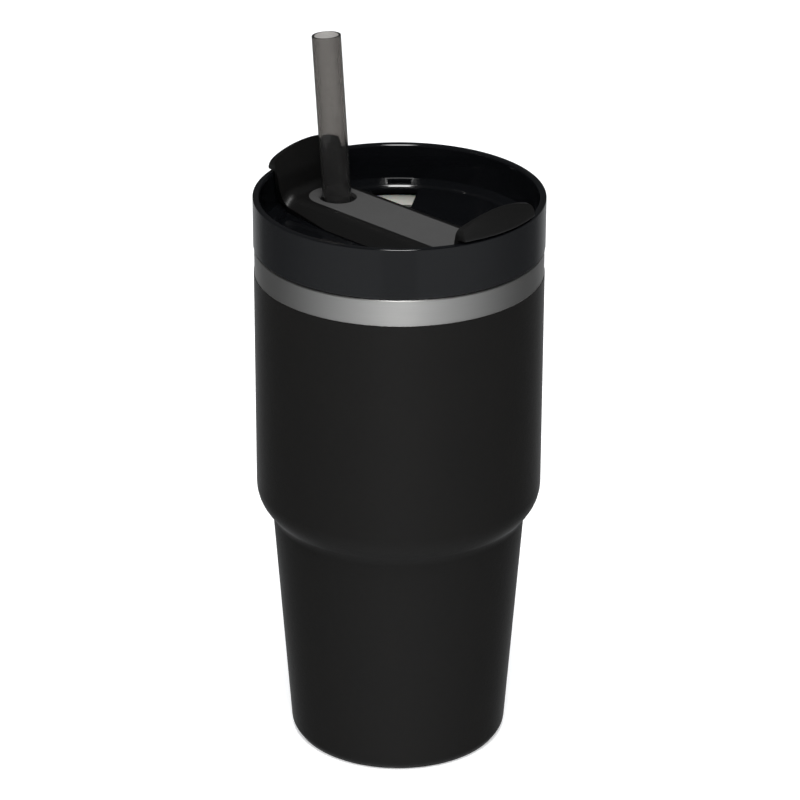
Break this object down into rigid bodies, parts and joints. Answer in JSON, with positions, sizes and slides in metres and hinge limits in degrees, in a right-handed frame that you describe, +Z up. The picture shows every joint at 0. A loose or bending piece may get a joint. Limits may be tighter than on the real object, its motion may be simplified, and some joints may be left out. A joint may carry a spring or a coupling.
{
  "type": "insulated travel mug",
  "caption": "Stepped double-wall steel tumbler with a tapered base, a tinted screw-on lid, a turning cover with finger tabs, and a reusable straw.",
  "frame": {"origin": "centre of the standing ring, on the surface that the mug stands on", "axes": "+Z up along the mug's axis; X along the turning cover's bar, with the straw towards -X at rest"},
  "size_m": [0.0994, 0.099, 0.2502],
  "materials": {
    "shell_steel": "black powder coat over stainless steel, left bare in a brushed band at the top",
    "liner_steel": "satin spun stainless steel",
    "base_coat": "black powder coat",
    "port_glass": "fused solder-glass bead",
    "getter_metal": "dull grey metal",
    "foil": "thin bright copper foil",
    "lid_plastic": "glossy, deeply smoke-tinted clear copolyester",
    "clear_silicone": "milky silicone",
    "cover_plastic": "finely spark-eroded black polypropylene",
    "insert_plastic": "soft-touch charcoal grey",
    "black_silicone": "matt silicone",
    "straw_plastic": "smoke-tinted clear copolyester, glossy"
  },
  "bodies": {
    "mug": {"outer_shell": "shell_steel", "inner_liner": "liner_steel", "shell_base": "shell_steel", "base_cover": "base_coat", "port_seal": "port_glass", "getter_holder": "getter_metal", "getter_pill": "getter_metal", "copper_foil": "foil"},
    "seal_ring": {"lid_gasket": "clear_silicone"},
    "lid": {"lid_body": "lid_plastic"},
    "cover": {"cover_body": "cover_plastic", "cover_insert": "insert_plastic", "straw_seal": "black_silicone", "sip_seal": "black_silicone", "hub_seal": "black_silicone", "hub_retainer": "cover_plastic"},
    "straw": {"straw": "straw_plastic"}
  },
  "joints": [
    {"name": "lid_rise", "type": "slide", "parent": "mug", "child": "seal_ring", "axis": [0, 0, 1], "range_m": [0, 0.03]},
    {"name": "lid_unscrew", "type": "hinge", "parent": "seal_ring", "child": "lid", "pos_m": [0, 0, 0.18], "axis": [0, 0, 1], "range_deg": [0, 1080]},
    {"name": "cover_turn", "type": "hinge", "parent": "lid", "child": "cover", "pos_m": [0, 0, 0.188], "axis": [0, 0, 1], "range_deg": [-42, 0]},
    {"name": "straw_lift", "type": "slide", "parent": "cover", "child": "straw", "axis": [-0.0854, 0, 0.9963], "range_m": [0, 0.24]}
  ],
  "couplings": [
    {"joint": "lid_rise", "follows": "lid_unscrew", "m_per_rad": 0.0015915}
  ]
}
